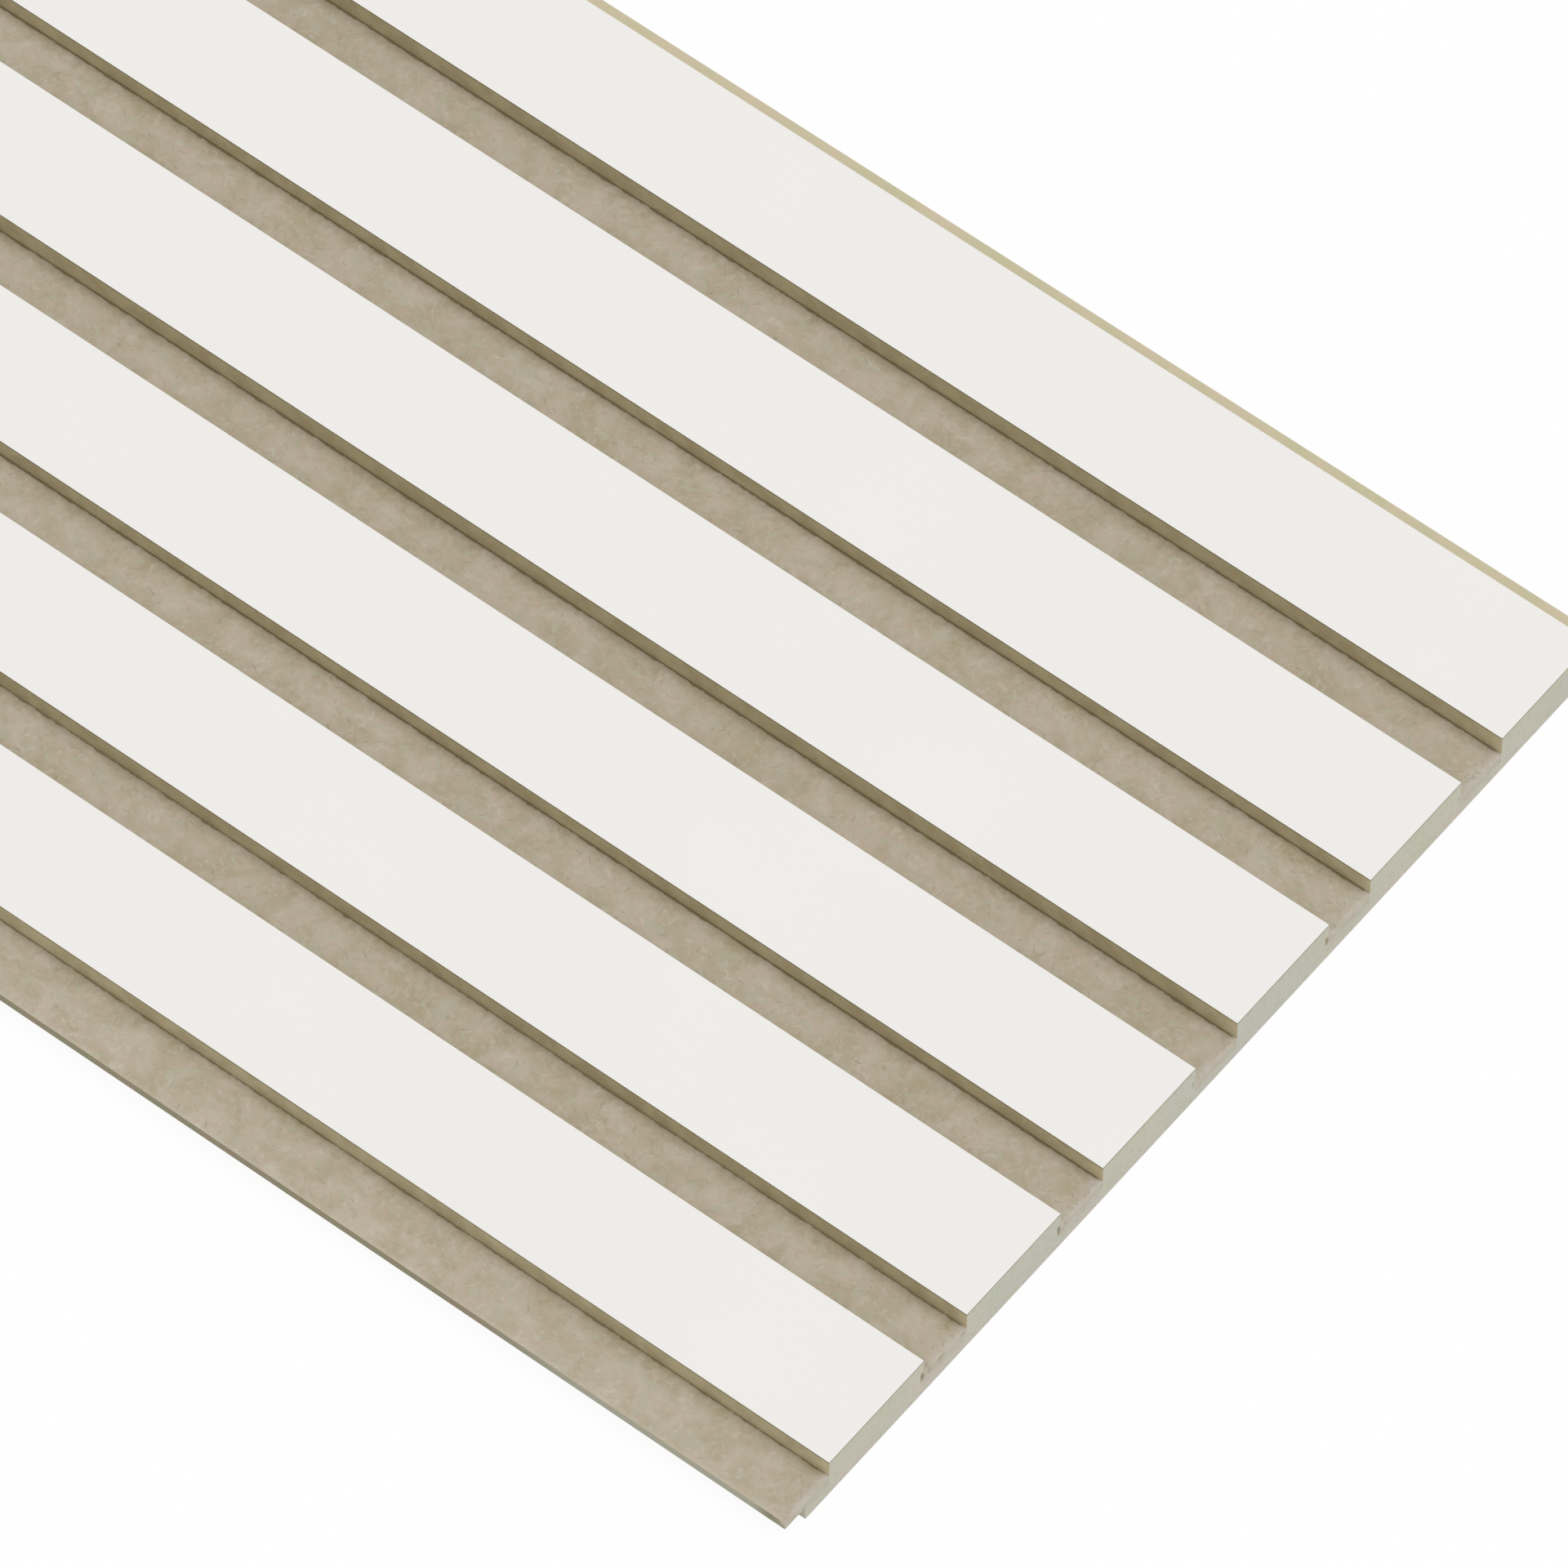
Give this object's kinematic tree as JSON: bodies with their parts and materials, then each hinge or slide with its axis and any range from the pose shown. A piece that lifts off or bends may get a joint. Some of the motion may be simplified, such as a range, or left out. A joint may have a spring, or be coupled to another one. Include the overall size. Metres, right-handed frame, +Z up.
{
  "type": "acoustic panel",
  "caption": "Long slatted wall panel: a milled MDF board with flat white faces, open grooves between them, a lip along one edge and a matching ledge along the other.",
  "frame": {"origin": "middle of the panel's length and width, on the plane of its flat back", "axes": "+X along the slats, +Y across them from the lip to the ledge, +Z up out of the white faces"},
  "size_m": [2.4, 0.2954, 0.0124],
  "materials": {
    "mdf": "bare MDF, milled and sawn, matt",
    "white_facing": "smooth matt white facing"
  },
  "bodies": {
    "root": {"board": "mdf", "facing_1": "white_facing", "facing_2": "white_facing", "facing_3": "white_facing", "facing_4": "white_facing", "facing_5": "white_facing", "facing_6": "white_facing"}
  },
  "joints": []
}
